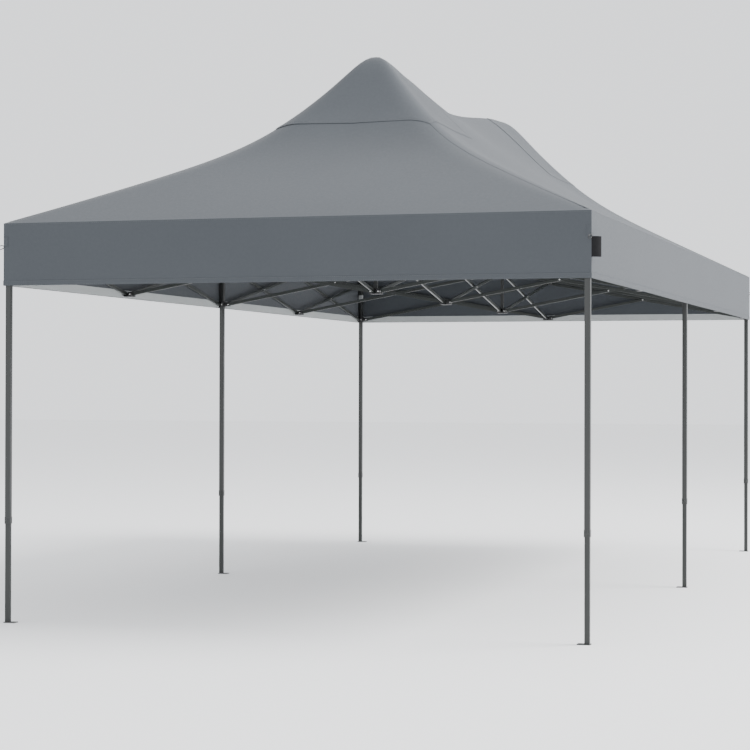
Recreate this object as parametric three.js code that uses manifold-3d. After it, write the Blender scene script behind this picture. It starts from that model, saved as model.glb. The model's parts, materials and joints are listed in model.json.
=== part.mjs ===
// A folding marquee: a grid of scissor bars between six telescopic legs, two peak poles and a cloth canopy.
// Millimetres, +Z up. The origin is on the ground at the middle of the tent, and the long side runs along Y.
import * as THREE from 'three';
import { mergeVertices } from 'three/addons/utils/BufferGeometryUtils.js';
import Module from 'manifold-3d';

const wasm = await Module();
wasm.setup();

// The grid: legs stand at columns 0 and 2 in rows 0, 2 and 4, and peak poles at column 1 in rows 1 and 3.
const bay = 1475;
const bayCountAcross = 2;
const bayCountAlong = 4;
const halfAcross = (bay * bayCountAcross) / 2;
const halfAlong = (bay * bayCountAlong) / 2;

// Heights of the two levels of pins.
const upperPinHeight = 1975;
const trussDepth = 261.5;
const lowerPinHeight = upperPinHeight - trussDepth;

// Bars: two flat bars cross in each bay, one on each side of the run's centre plane.
const barWidth = 20;
const barThickness = 10;
const barGap = 2;
const barPlane = (barGap + barThickness) / 2;
const barEndSteps = 4;

// Pins, and the holes that turn on them.
const pinRadius = 3;
const pinSides = 8;
const pinClearance = 0.6;
const fitGap = 0.3;
const pinEmbed = 0.5;

// Hubs: a slot for each run between four corner blocks. A leg holds its pins twice as far out, so that
// every bar has the same length and the whole grid folds through one angle.
const slotClearance = 1;
const slotHalf = barGap / 2 + barThickness + slotClearance;
const hubReach = slotHalf + barWidth / 2;
const legReach = 2 * hubReach;
const hubPlateThickness = 4;
const hubPlateGap = 1;
const hubBlockMargin = 1;
const hubBlockHeight = barWidth + 2 * hubBlockMargin;
const hubHalf = hubReach + barWidth / 2;
const webThickness = barGap - 2 * fitGap;
const webHalf = 8;

// Legs: a square inner tube slides in a square outer tube.
const legSide = 28;
const legWall = 1;
const legSlideClearance = 0.5;
const innerLegSide = legSide - 2 * legWall - 2 * legSlideClearance;
const innerLegWall = 1.2;
const outerLegBottom = 500;
const innerLegTop = 930;
const legTopRise = 18;
const legCapThickness = 3;
const sleeveThickness = 2;
const sleeveHeight = 44;
const earThickness = 3;
const earEdge = 8;
const earHeight = 24;

// Feet: a plate that reaches inwards from the leg, with a hole for a ground stake.
const footThickness = 4;
const footOuterEdge = 4;
const footInnerReach = 34;
const footWidth = 48;
const stakeHoleRadius = 5;
const stakeHoleSides = 12;
const stakeHoleInset = 14;

// Peak poles.
const poleSlotMargin = 2;
const poleSide = 2 * (slotHalf - poleSlotMargin);
const poleWall = 1.2;
const poleTopGap = 27;

// Canopy: a cloth shell that hangs over the leg tops, with a straight valance. The roof is steeper near the
// peaks and dips between them: each share is of the peak's rise, and each reach is of the half width.
const clothThickness = 3;
const clothLegGap = 4;
const eaveRise = 28;
const valanceDrop = 313;
const peakRise = 997;
const ridgeDip = 0.112;
const peakShare = 0.27;
const peakReach = 0.29;
const saddleShare = 0.14;
const saddleReach = 0.35;
const hipSoftness = 0.8;
const canopyHalfAcross = halfAcross + legSide / 2 + clothLegGap + clothThickness;
const canopyHalfAlong = halfAlong + legSide / 2 + clothLegGap + clothThickness;
const eaveHeight = upperPinHeight + eaveRise;
const peakOffset = halfAlong / 2;
const canopyStepsAcross = 16;
const canopyStepsAlong = 32;

const metal = new THREE.MeshStandardMaterial({ color: 0x4a4d4c, roughness: 0.45, metalness: 0.5 });
const cloth = new THREE.MeshStandardMaterial({ color: 0x7d848a, roughness: 0.85, metalness: 0 });
const zinc = new THREE.MeshStandardMaterial({ color: 0x6b6e6d, roughness: 0.5, metalness: 0.6 });

// three.js geometry to a solid, and back.
function toSolid(geometry) {
  const bare = geometry.clone();
  bare.deleteAttribute('normal');
  bare.deleteAttribute('uv');
  const merged = mergeVertices(bare, 1e-4);
  return new wasm.Manifold(
    new wasm.Mesh({
      numProp: 3,
      vertProperties: merged.attributes.position.array,
      triVerts: new Uint32Array(merged.index.array),
    }),
  );
}

function toGeometry(solid) {
  const mesh = solid.getMesh();
  const geometry = new THREE.BufferGeometry();
  geometry.setAttribute('position', new THREE.BufferAttribute(mesh.vertProperties, 3));
  geometry.setIndex(new THREE.BufferAttribute(mesh.triVerts, 1));
  geometry.computeVertexNormals();
  return geometry;
}

function joined(solids) {
  return solids.reduce((whole, next) => whole.add(next));
}

// A box between two corners.
function block(low, high) {
  const size = high.map((value, k) => value - low[k]);
  const centre = high.map((value, k) => (value + low[k]) / 2);
  return toSolid(new THREE.BoxGeometry(...size).translate(...centre));
}

// A round pin along X or Y, from one distance along that axis to another.
function pin(axis, from, to, place) {
  const rod = new THREE.CylinderGeometry(pinRadius, pinRadius, to - from, pinSides);
  rod.translate(0, (from + to) / 2, 0);
  if (axis === 'x') rod.rotateZ(-Math.PI / 2);
  return toSolid(rod.translate(...place));
}

// A square tube, open at the bottom and, unless it has a cap, at the top.
function squareTube(side, wall, bottom, top, cap) {
  const half = side / 2;
  const bore = half - wall;
  const boreTop = cap > 0 ? top - cap : top + 1;
  return block([-half, -half, bottom], [half, half, top]).subtract(
    block([-bore, -bore, bottom - 1], [bore, bore, boreTop]),
  );
}

function circle(radius, x, steps) {
  const points = [];
  for (let k = 0; k < steps; k += 1) {
    const angle = (2 * Math.PI * (k + 0.5)) / steps;
    points.push(new THREE.Vector2(x + radius * Math.cos(angle), radius * Math.sin(angle)));
  }
  return points;
}

// A flat bar along X with its first pin at the origin. Each of its three pin places is a hole, or a stud
// that stands out of the face towards -Y and turns in the other bar's hole.
function bar(length, places) {
  const radius = barWidth / 2;
  const outline = [];
  for (const [x, start] of [[0, Math.PI / 2], [length, -Math.PI / 2]]) {
    for (let k = 0; k <= barEndSteps; k += 1) {
      const angle = start + (Math.PI * k) / barEndSteps;
      outline.push(new THREE.Vector2(x + radius * Math.cos(angle), radius * Math.sin(angle)));
    }
  }
  const shape = new THREE.Shape(outline);
  const along = [0, length / 2, length];
  places.forEach((place, k) => {
    if (place === 'hole') {
      shape.holes.push(new THREE.Path(circle(pinRadius + pinClearance, along[k], pinSides)));
    }
  });
  const flat = new THREE.ExtrudeGeometry(shape, { depth: barThickness, bevelEnabled: false });
  flat.translate(0, 0, -barThickness / 2).rotateX(Math.PI / 2);
  const studEnd = -barThickness / 2 - barGap - barThickness - fitGap;
  const studs = along
    .filter((_, k) => places[k] === 'stud')
    .map((x) => pin('y', studEnd, 0, [x, 0, 0]));
  return toGeometry(joined([toSolid(flat), ...studs]));
}

// One run of crossed bars, in its own group: X runs along it. reaches holds how far each grid joint keeps
// its pins from its centre. A reach of 0 is two bars on one pin, and heldNode's upper pin is the hub's own.
function scissorRun(prefix, reaches, heldNode) {
  const run = new THREE.Group();
  const share = (node) => (reaches[node] === 0 ? 'stud' : 'hole');
  for (let cell = 0; cell + 1 < reaches.length; cell += 1) {
    const from = cell * bay + reaches[cell];
    const span = (cell + 1) * bay - reaches[cell + 1] - from;
    const length = Math.hypot(span, trussDepth);
    const tilt = Math.atan2(trussDepth, span);
    const start = cell === heldNode ? 'hole' : share(cell);
    const falling = new THREE.Mesh(bar(length, [start, 'stud', share(cell + 1)]), metal);
    falling.name = `${prefix}_${cell}_a`;
    falling.position.set(from, barPlane, upperPinHeight);
    falling.rotation.y = tilt;
    const rising = new THREE.Mesh(bar(length, ['hole', 'hole', 'hole']), metal);
    rising.name = `${prefix}_${cell}_b`;
    rising.position.set(from, -barPlane, lowerPinHeight);
    rising.rotation.y = -tilt;
    run.add(falling, rising);
  }
  return run;
}

// An outer leg's ears and pin for one run, which leaves the leg along +X before it is turned.
function legEars(turn) {
  const out = legReach + earEdge;
  const low = -earHeight / 2;
  const ears = [1, -1].map((side) => {
    const inner = side * slotHalf;
    const outer = side * (slotHalf + earThickness);
    return block(
      [legSide / 2 - legWall / 2, Math.min(inner, outer), low],
      [out, Math.max(inner, outer), earHeight / 2],
    );
  });
  const reach = slotHalf + pinEmbed;
  const through = pin('y', -reach, reach, [legReach, 0, 0]);
  return joined([...ears, through]).rotate([0, 0, turn]);
}

function outerLeg(turns) {
  const top = upperPinHeight + legTopRise;
  const tube = squareTube(legSide, legWall, outerLegBottom, top, legCapThickness);
  const half = legSide / 2 + sleeveThickness;
  const bore = legSide / 2 - legWall / 2;
  const sleeve = block([-half, -half, -sleeveHeight / 2], [half, half, legTopRise]).subtract(
    block([-bore, -bore, -sleeveHeight], [bore, bore, sleeveHeight]),
  );
  const head = joined([sleeve, ...turns.map(legEars)]).translate([0, 0, upperPinHeight]);
  return toGeometry(tube.add(head));
}

// The inner leg stands on its foot, and the foot reaches inwards, along +X before it is turned.
function innerLeg(turn) {
  const tube = squareTube(innerLegSide, innerLegWall, footThickness / 2, innerLegTop, 0);
  const plate = block(
    [-innerLegSide / 2 - footOuterEdge, -footWidth / 2, 0],
    [innerLegSide / 2 + footInnerReach, footWidth / 2, footThickness],
  );
  const depth = 4 * footThickness;
  const stake = new THREE.CylinderGeometry(stakeHoleRadius, stakeHoleRadius, depth, stakeHoleSides);
  stake.rotateX(Math.PI / 2);
  stake.translate(innerLegSide / 2 + footInnerReach - stakeHoleInset, 0, 0);
  const foot = plate.subtract(toSolid(stake)).rotate([0, 0, turn]);
  return toGeometry(tube.add(foot));
}

// Four corner blocks with a plate across them, above (1) or below (-1) the pins.
function hubBody(plateSide) {
  const half = hubBlockHeight / 2;
  const near = half + hubPlateGap;
  const far = near + hubPlateThickness;
  const solids = [];
  for (const x of [-1, 1]) {
    for (const y of [-1, 1]) {
      const corners = [slotHalf, hubHalf];
      const xs = corners.map((v) => v * x).sort((a, b) => a - b);
      const ys = corners.map((v) => v * y).sort((a, b) => a - b);
      const zs = [-half * plateSide, (near + pinEmbed) * plateSide].sort((a, b) => a - b);
      solids.push(block([xs[0], ys[0], zs[0]], [xs[1], ys[1], zs[1]]));
    }
  }
  const plate = [near * plateSide, far * plateSide].sort((a, b) => a - b);
  solids.push(block([-hubHalf, -hubHalf, plate[0]], [hubHalf, hubHalf, plate[1]]));
  return solids;
}

// A pin across a hub's slot on each side of its centre, for the run along the given axis.
function hubPins(runAxis) {
  const reach = slotHalf + pinEmbed;
  return [-hubReach, hubReach].map((offset) =>
    runAxis === 'x' ? pin('y', -reach, reach, [offset, 0, 0]) : pin('x', -reach, reach, [0, offset, 0]),
  );
}

// The hub at the middle of the tent: the side run has a pin on each side, and the cross run's two bars
// share one pin on a thin web between them.
function centreHub() {
  const plateBottom = hubBlockHeight / 2 + hubPlateGap;
  const web = block(
    [-webHalf, -webThickness / 2, -pinRadius],
    [webHalf, webThickness / 2, plateBottom + pinEmbed],
  );
  const reach = slotHalf - fitGap;
  const shared = pin('y', -reach, reach, [0, 0, 0]);
  return toGeometry(joined([...hubBody(1), ...hubPins('y'), web, shared]));
}

function peakPole() {
  const bottom = -hubBlockHeight / 2 - hubPlateGap - hubPlateThickness / 2;
  const top = eaveHeight + peakRise - poleTopGap - lowerPinHeight;
  const tube = squareTube(poleSide, poleWall, bottom, top, 0);
  return toGeometry(joined([tube, ...hubBody(-1), ...hubPins('x'), ...hubPins('y')]));
}

// Roof height as a share of the peak's rise, at a share of the half width and a distance along the tent.
function roofShare(across, along) {
  const u = Math.abs(across);
  const y = Math.abs(along);
  const beyond = Math.max(0, (y - peakOffset) / (canopyHalfAlong - peakOffset));
  const within = Math.max(0, (peakOffset - y) / peakOffset);
  const steep = (t) => 1 - peakShare + peakShare * Math.exp(-((t / peakReach) ** 2));
  if (beyond > 0 || within === 0) {
    const far = Math.max(u, beyond);
    const soft = hipSoftness * far * (1 - far) + 1e-6;
    const near = Math.max(0, 1 - Math.abs(u - beyond) / soft);
    const t = Math.min(1, far + (soft / 4) * near * near);
    return (1 - t) * steep(t);
  }
  const blend = within * within * (3 - 2 * within);
  const ridge = 1 - ridgeDip * blend;
  const gentle = 1 - saddleShare + saddleShare * Math.exp(-((u / saddleReach) ** 2));
  return (1 - u) * ridge * (steep(u) * (1 - blend) + gentle * blend);
}

// Grid rows along the tent, from -1 to 1, with one of them on each peak.
function rowPlace(share) {
  const far = Math.abs(share);
  const beyond = (2 * far - 1) * (canopyHalfAlong - peakOffset);
  return Math.sign(share) * (far <= 0.5 ? 2 * far * peakOffset : peakOffset + beyond);
}

// The roof of one skin of the canopy, as a grid of points.
function canopyRoof(inset) {
  const points = [];
  const width = canopyHalfAcross - inset;
  const shorten = (canopyHalfAlong - inset) / canopyHalfAlong;
  for (let j = 0; j <= canopyStepsAlong; j += 1) {
    for (let i = 0; i <= canopyStepsAcross; i += 1) {
      const across = (2 * i) / canopyStepsAcross - 1;
      const along = rowPlace((2 * j) / canopyStepsAlong - 1);
      const rise = peakRise * roofShare(across, along);
      points.push([across * width, along * shorten, eaveHeight - inset + rise]);
    }
  }
  return points;
}

function canopy() {
  const nx = canopyStepsAcross;
  const ny = canopyStepsAlong;
  const at = (i, j) => j * (nx + 1) + i;
  const edge = [];
  for (let i = 0; i < nx; i += 1) edge.push(at(i, 0));
  for (let j = 0; j < ny; j += 1) edge.push(at(nx, j));
  for (let i = nx; i > 0; i -= 1) edge.push(at(i, ny));
  for (let j = ny; j > 0; j -= 1) edge.push(at(0, j));
  const points = [];
  const faces = [];
  const hems = [0, clothThickness].map((inset, skin) => {
    const first = points.length;
    const roof = canopyRoof(inset);
    points.push(...roof);
    const quad = (a, b, c, d) => {
      if (skin === 0) faces.push(a, b, c, a, c, d);
      else faces.push(a, c, b, a, d, c);
    };
    for (let j = 0; j < ny; j += 1) {
      for (let i = 0; i < nx; i += 1) {
        quad(first + at(i, j), first + at(i + 1, j), first + at(i + 1, j + 1), first + at(i, j + 1));
      }
    }
    const hem = points.length;
    for (const k of edge) points.push([roof[k][0], roof[k][1], eaveHeight - valanceDrop]);
    edge.forEach((k, n) => {
      const next = (n + 1) % edge.length;
      quad(hem + n, hem + next, first + edge[next], first + k);
    });
    return hem;
  });
  edge.forEach((_, n) => {
    const next = (n + 1) % edge.length;
    faces.push(hems[0] + n, hems[1] + n, hems[1] + next, hems[0] + n, hems[1] + next, hems[0] + next);
  });
  const geometry = new THREE.BufferGeometry();
  geometry.setAttribute('position', new THREE.Float32BufferAttribute(points.flat(), 3));
  geometry.setIndex(faces);
  geometry.computeVertexNormals();
  return geometry;
}

function named(name, geometry, material, place) {
  const mesh = new THREE.Mesh(geometry, material);
  mesh.name = name;
  mesh.position.set(...place);
  return mesh;
}

const tent = new THREE.Group();

// Runs across the tent, front to back. The odd rows meet the peak poles.
for (let row = 0; row <= bayCountAlong; row += 1) {
  const meetsPoles = row % 2 === 1;
  const reaches = meetsPoles ? [hubReach, hubReach, hubReach] : [legReach, 0, legReach];
  const run = scissorRun(`cross_bar_${row}`, reaches, row === 2 ? 1 : -1);
  run.position.set(-halfAcross, row * bay - halfAlong, 0);
  tent.add(run);
}

// Runs along the tent, left to right. The middle one meets the peak poles and the centre hub.
for (let column = 0; column <= bayCountAcross; column += 1) {
  const outer = (_, node) => (node % 2 === 0 ? legReach : 0);
  const reaches = Array.from({ length: bayCountAlong + 1 }, column === 1 ? () => hubReach : outer);
  const run = scissorRun(`side_bar_${column}`, reaches, -1);
  run.position.set(column * bay - halfAcross, -halfAlong, 0);
  run.rotation.z = Math.PI / 2;
  tent.add(run);
}

// Legs: the runs that leave each one are listed by the way they turn from +X, in degrees.
for (const [across, side] of [[-1, 'left'], [1, 'right']]) {
  for (const [along, place] of [[-1, 'front'], [0, 'middle'], [1, 'back']]) {
    const inwards = across < 0 ? 0 : 180;
    const turns = [inwards];
    if (along <= 0) turns.push(90);
    if (along >= 0) turns.push(-90);
    const where = [across * halfAcross, along * halfAlong, 0];
    tent.add(named(`outer_leg_${place}_${side}`, outerLeg(turns), metal, where));
    tent.add(named(`inner_leg_${place}_${side}`, innerLeg(inwards), zinc, where));
  }
}

for (const [along, place] of [[-1, 'front'], [1, 'back']]) {
  const where = [0, along * peakOffset, lowerPinHeight];
  tent.add(named(`peak_pole_${place}`, peakPole(), metal, where));
}

tent.add(named('centre_hub', centreHub(), metal, [0, 0, upperPinHeight]));
tent.add(named('canopy', canopy(), cloth, [0, 0, 0]));

export default tent;
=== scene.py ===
import json
import math
import bmesh
import bpy
import numpy as np
from mathutils import Matrix, Vector


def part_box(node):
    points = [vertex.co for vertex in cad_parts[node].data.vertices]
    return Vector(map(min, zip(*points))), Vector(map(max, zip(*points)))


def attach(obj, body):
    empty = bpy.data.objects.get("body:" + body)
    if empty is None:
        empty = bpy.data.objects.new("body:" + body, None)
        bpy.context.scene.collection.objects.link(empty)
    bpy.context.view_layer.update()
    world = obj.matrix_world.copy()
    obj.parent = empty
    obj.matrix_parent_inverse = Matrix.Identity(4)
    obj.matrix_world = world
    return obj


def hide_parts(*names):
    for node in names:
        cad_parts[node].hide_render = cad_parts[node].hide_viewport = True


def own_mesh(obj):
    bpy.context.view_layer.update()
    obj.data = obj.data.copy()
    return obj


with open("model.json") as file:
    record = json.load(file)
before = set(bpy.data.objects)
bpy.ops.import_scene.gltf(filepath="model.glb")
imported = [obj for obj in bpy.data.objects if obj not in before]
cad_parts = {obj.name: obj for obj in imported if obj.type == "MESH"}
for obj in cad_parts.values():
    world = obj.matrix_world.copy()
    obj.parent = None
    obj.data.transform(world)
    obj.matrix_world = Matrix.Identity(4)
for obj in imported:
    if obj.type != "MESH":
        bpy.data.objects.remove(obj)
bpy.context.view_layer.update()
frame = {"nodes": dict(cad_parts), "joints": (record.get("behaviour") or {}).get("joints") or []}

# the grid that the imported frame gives
barWidth = 0.020
barThickness = 0.010
barPlane = 0.006
foldJoint = next(j for j in frame["joints"] if j["name"] == "frame_fold")
upperPins = foldJoint["pos_m"][2]
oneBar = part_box("cross_bar_0_0_b")
lowerPins = upperPins - (oneBar[1].z - oneBar[0].z - barWidth)
bay = sum(corner.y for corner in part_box("peak_pole_back")) / 2
legSide = 0.028
legReach = 0.044
hubReach = 0.022
slotHalf = 0.012
foldAngle = math.radians(foldJoint["range_deg"][1])
pinDrop = upperPins - lowerPins
barLength = math.hypot(bay - hubReach * 2, pinDrop)
foldedTilt = math.asin(pinDrop / barLength) + foldAngle
bayShift = bay - (barLength * math.cos(foldedTilt) + hubReach * 2)
levelShift = barLength * math.sin(foldedTilt) - pinDrop
rows = [("front", -2), ("middle", 0), ("back", 2)]
sides = [("left", -1), ("right", 1)]
print("frame read, bay", round(bay, 4))


def addSocket(tree, name, kind, value=None, output=False):
    socket = tree.interface.new_socket(name=name, in_out="OUTPUT" if output else "INPUT", socket_type=kind)
    if value is not None:
        socket.default_value = value
    return socket


def newObject(name, mesh):
    piece = bpy.data.objects.new(name, mesh)
    bpy.context.scene.collection.objects.link(piece)
    return piece


def makeNode(tree, kind, inputs=None, **settings):
    node = tree.nodes.new(kind)
    for key, value in settings.items():
        setattr(node, key, value)
    for key, value in (inputs or {}).items():
        node.inputs[key].default_value = value
    return node


def join(tree, *links):  # each link is a node and its output, then a node and its input
    for source, output, target, entry in links:
        tree.links.new(source.outputs[output], target.inputs[entry])


# camera
view = {
    "place": (3.369, -12.474, 1.173),
    "yaw": -0.2975,
    "pitch": 0.0070,
    "roll": 0.0025,
    "lens": 100.56,
    "sensor": 36.0,
}


def addCamera():
    yaw, pitch = view["yaw"], view["pitch"]
    ahead = Vector((math.sin(yaw) * math.cos(pitch), math.cos(yaw) * math.cos(pitch), math.sin(pitch)))
    right = Vector((math.cos(yaw), -math.sin(yaw), 0))
    up = right.cross(ahead)
    data = bpy.data.cameras.new("camera")
    data.lens = view["lens"]
    data.sensor_width = view["sensor"]
    data.clip_end = 200
    camera = bpy.data.objects.new("camera", data)
    turn = Matrix((right, up, -ahead)).transposed().to_4x4() @ Matrix.Rotation(view["roll"], 4, "Z")
    camera.matrix_world = Matrix.Translation(Vector(view["place"])) @ turn
    bpy.context.scene.collection.objects.link(camera)
    bpy.context.scene.camera = camera


# soft studio light, stronger from the right
studio = {
    "worldColour": (0.95, 0.97, 1.0),
    "worldStrength": 1.6,
    "keyPower": 4600,
    "keyPlace": (12, 1, 12),
    "keySize": 9,
    "fillPower": 150,
    "fillPlace": (-4, -14, 7),
    "fillSize": 8,
    "floorColour": (0.93, 0.93, 0.93, 1),
    "floorHalf": 60,
}


def addArea(name, place, size, power):
    data = bpy.data.lights.new(name, "AREA")
    data.size = size
    data.energy = power
    light = bpy.data.objects.new(name, data)
    light.location = place
    aim = Vector((0, 0, 1.8)) - Vector(place)
    light.rotation_euler = aim.to_track_quat("-Z", "Y").to_euler()
    bpy.context.scene.collection.objects.link(light)


def addStudio():
    world = bpy.data.worlds.new("studio")
    world.use_nodes = True
    background = world.node_tree.nodes["Background"]
    background.inputs["Color"].default_value = (*studio["worldColour"], 1)
    background.inputs["Strength"].default_value = studio["worldStrength"]
    bpy.context.scene.world = world
    addArea("key", studio["keyPlace"], studio["keySize"], studio["keyPower"])
    addArea("fill", studio["fillPlace"], studio["fillSize"], studio["fillPower"])
    half = studio["floorHalf"]
    mesh = bpy.data.meshes.new("floor")
    corners = [(-half, -half, 0), (half, -half, 0), (half, half, 0), (-half, half, 0)]
    mesh.from_pydata(corners, [], [(0, 1, 2, 3)])
    floor = newObject("floor", mesh)
    paint = bpy.data.materials.new("floor")
    paint.use_nodes = True
    shader = paint.node_tree.nodes["Principled BSDF"]
    shader.inputs["Base Color"].default_value = studio["floorColour"]
    shader.inputs["Roughness"].default_value = 0.9
    mesh.materials.append(paint)


addCamera()
addStudio()
print("camera and light done")


# shared shader groups: each gives masks and heights only
def startGroup(name, inputs, outputs):
    tree = bpy.data.node_groups.new(name, "ShaderNodeTree")
    for label, kind, value in inputs:
        addSocket(tree, label, kind, value)
    for label in outputs:
        addSocket(tree, label, "NodeSocketFloat", output=True)
    return tree, tree.nodes.new("NodeGroupInput"), tree.nodes.new("NodeGroupOutput")


def makeGrain():  # fine pimples and slow patches, for paint, plastic and cloth alike
    inputs = [("Vector", "NodeSocketVector", None)]
    inputs += [("Fine", "NodeSocketFloat", 900.0), ("Broad", "NodeSocketFloat", 3.0)]
    tree, source, sink = startGroup("grain", inputs, ["Height", "Patch"])
    for scale, detail, label in (("Fine", 2, "Height"), ("Broad", 4, "Patch")):
        noise = makeNode(tree, "ShaderNodeTexNoise", {"Detail": detail, "Roughness": 0.55})
        join(tree, (source, "Vector", noise, "Vector"), (source, scale, noise, "Scale"))
        join(tree, (noise, "Fac", sink, label))
    return tree


def makeWeave():  # plain weave: threads pass over and under in both directions
    inputs = [("Vector", "NodeSocketVector", None), ("Threads", "NodeSocketFloat", 700.0)]
    tree, source, sink = startGroup("weave", inputs, ["Height", "Shade"])
    scaled = makeNode(tree, "ShaderNodeVectorMath", operation="SCALE")
    parts = tree.nodes.new("ShaderNodeSeparateXYZ")
    join(tree, (source, "Vector", scaled, 0), (source, "Threads", scaled, "Scale"))
    join(tree, (scaled, "Vector", parts, 0))
    both = makeNode(tree, "ShaderNodeMath", operation="MULTIPLY")
    for k, axis in enumerate("XY"):
        turn = makeNode(tree, "ShaderNodeMath", {1: math.pi}, operation="MULTIPLY")
        wave = makeNode(tree, "ShaderNodeMath", operation="SINE")
        join(tree, (parts, axis, turn, 0), (turn, 0, wave, 0), (wave, 0, both, k))
    size = makeNode(tree, "ShaderNodeMath", operation="ABSOLUTE")
    slub = makeNode(tree, "ShaderNodeTexNoise", {"Scale": 60.0, "Detail": 3.0})
    join(tree, (both, 0, size, 0), (size, 0, sink, "Height"))
    join(tree, (source, "Vector", slub, "Vector"), (slub, "Fac", sink, "Shade"))
    return tree


grainGroup = makeGrain()
weaveGroup = makeWeave()


def startMaterial(name, values):
    material = bpy.data.materials.new(name)
    material.use_nodes = True
    tree = material.node_tree
    shader = tree.nodes["Principled BSDF"]
    for label, value in values.get("constants", {}).items():
        shader.inputs[label].default_value = value
    return material, tree, shader


def placeGroup(tree, group, vector, values):
    node = tree.nodes.new("ShaderNodeGroup")
    node.node_tree = group
    tree.links.new(vector, node.inputs["Vector"])
    for label, value in values.items():
        node.inputs[label].default_value = value
    return node


def spread(tree, mask, low, high, socket):  # mask turned into a number between low and high
    limits = {"From Min": 0.3, "From Max": 0.7, "To Min": low, "To Max": high}
    node = makeNode(tree, "ShaderNodeMapRange", limits)
    tree.links.new(mask, node.inputs["Value"])
    tree.links.new(node.outputs["Result"], socket)


def tint(tree, mask, dark, light, socket):
    node = makeNode(tree, "ShaderNodeMix", data_type="RGBA")
    node.inputs[6].default_value = (*dark, 1)
    node.inputs[7].default_value = (*light, 1)
    tree.links.new(mask, node.inputs[0])
    tree.links.new(node.outputs[2], socket)


def coated(name, values):  # painted metal, bare steel or moulded plastic
    material, tree, shader = startMaterial(name, values)
    spot = tree.nodes.new("ShaderNodeTexCoord").outputs["Object"]
    grain = placeGroup(tree, grainGroup, spot, {"Fine": values["fine"], "Broad": values["broad"]})
    tint(tree, grain.outputs["Patch"], values["dark"], values["light"], shader.inputs["Base Color"])
    spread(tree, grain.outputs["Patch"], values["smooth"], values["rough"], shader.inputs["Roughness"])
    bump = makeNode(tree, "ShaderNodeBump", {"Strength": values["bump"], "Distance": 0.0004})
    join(tree, (grain, "Height", bump, "Height"), (bump, "Normal", shader, "Normal"))
    return material


def woven(name, values):  # cloth and webbing, on the piece's own UV map in metres
    material, tree, shader = startMaterial(name, values)
    place = makeNode(tree, "ShaderNodeUVMap", uv_map="cloth").outputs["UV"]
    weave = placeGroup(tree, weaveGroup, place, {"Threads": values["threads"]})
    grain = placeGroup(tree, grainGroup, place, {"Fine": values["fine"], "Broad": values["broad"]})
    tint(tree, grain.outputs["Patch"], values["dark"], values["light"], shader.inputs["Base Color"])
    spread(tree, weave.outputs["Shade"], values["smooth"], values["rough"], shader.inputs["Roughness"])
    soft = makeNode(tree, "ShaderNodeBump", {"Strength": values["crease"], "Distance": 0.004})
    fine = makeNode(tree, "ShaderNodeBump", {"Strength": values["bump"], "Distance": 0.0003})
    join(tree, (grain, "Height", soft, "Height"), (weave, "Height", fine, "Height"))
    join(tree, (soft, "Normal", fine, "Normal"), (fine, "Normal", shader, "Normal"))
    return material


clothFinish = {
    "dark": (0.057, 0.063, 0.071), "light": (0.066, 0.073, 0.081), "smooth": 0.72, "rough": 0.86,
    "threads": 700.0, "fine": 9.0, "broad": 1.6, "bump": 0.25, "crease": 0.12,
    "constants": {"Sheen Weight": 0.12, "Sheen Roughness": 0.4, "Specular IOR Level": 0.2},
}
paintFinish = {
    "dark": (0.013, 0.015, 0.014), "light": (0.020, 0.022, 0.021), "smooth": 0.32, "rough": 0.46,
    "fine": 700.0, "broad": 5.0, "bump": 0.25, "constants": {"Coat Weight": 0.15, "Coat Roughness": 0.3},
}
innerFinish = {
    "dark": (0.024, 0.026, 0.025), "light": (0.034, 0.037, 0.035), "smooth": 0.36, "rough": 0.50,
    "fine": 700.0, "broad": 5.0, "bump": 0.2, "constants": {"Metallic": 0.25},
}
barFinish = {
    "dark": (0.030, 0.034, 0.032), "light": (0.046, 0.050, 0.048), "smooth": 0.28, "rough": 0.42,
    "fine": 650.0, "broad": 6.0, "bump": 0.25, "constants": {"Metallic": 0.3},
}
plasticFinish = {
    "dark": (0.012, 0.012, 0.013), "light": (0.020, 0.020, 0.021), "smooth": 0.36, "rough": 0.52,
    "fine": 1400.0, "broad": 9.0, "bump": 0.35, "constants": {"Specular IOR Level": 0.5},
}
steelFinish = {
    "dark": (0.55, 0.55, 0.54), "light": (0.70, 0.70, 0.69), "smooth": 0.18, "rough": 0.34,
    "fine": 900.0, "broad": 30.0, "bump": 0.1, "constants": {"Metallic": 1.0},
}
strapFinish = {
    "dark": (0.30, 0.31, 0.31), "light": (0.37, 0.38, 0.38), "smooth": 0.75, "rough": 0.90,
    "threads": 420.0, "fine": 40.0, "broad": 8.0, "bump": 0.6, "crease": 0.1,
    "constants": {"Sheen Weight": 0.1},
}
tagFinish = {
    "dark": (0.008, 0.008, 0.009), "light": (0.014, 0.014, 0.015), "smooth": 0.55, "rough": 0.70,
    "threads": 1100.0, "fine": 60.0, "broad": 12.0, "bump": 0.2, "crease": 0.05,
    "constants": {"Specular IOR Level": 0.08},
}
# light grey colour of the band inside the hem: painted light, standing in for light through the valance from
# behind
paintedLightBandFinish = {**strapFinish, "dark": (0.40, 0.42, 0.42), "light": (0.47, 0.49, 0.49)}
threadFinish = {**plasticFinish, "dark": (0.10, 0.105, 0.11), "light": (0.13, 0.135, 0.14)}
clothMaterial = woven("canopy_cloth", clothFinish)
paintMaterial = coated("leg_paint", paintFinish)
innerMaterial = coated("inner_leg_paint", innerFinish)
barMaterial = coated("bar_paint", barFinish)
plasticMaterial = coated("black_plastic", plasticFinish)
steelMaterial = coated("rivet_steel", steelFinish)
strapMaterial = woven("strap_webbing", strapFinish)
tagMaterial = woven("tag_cloth", tagFinish)
paintedLightBandMaterial = woven("painted_light_band", paintedLightBandFinish)
threadMaterial = coated("thread", threadFinish)
print("materials done")


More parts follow.
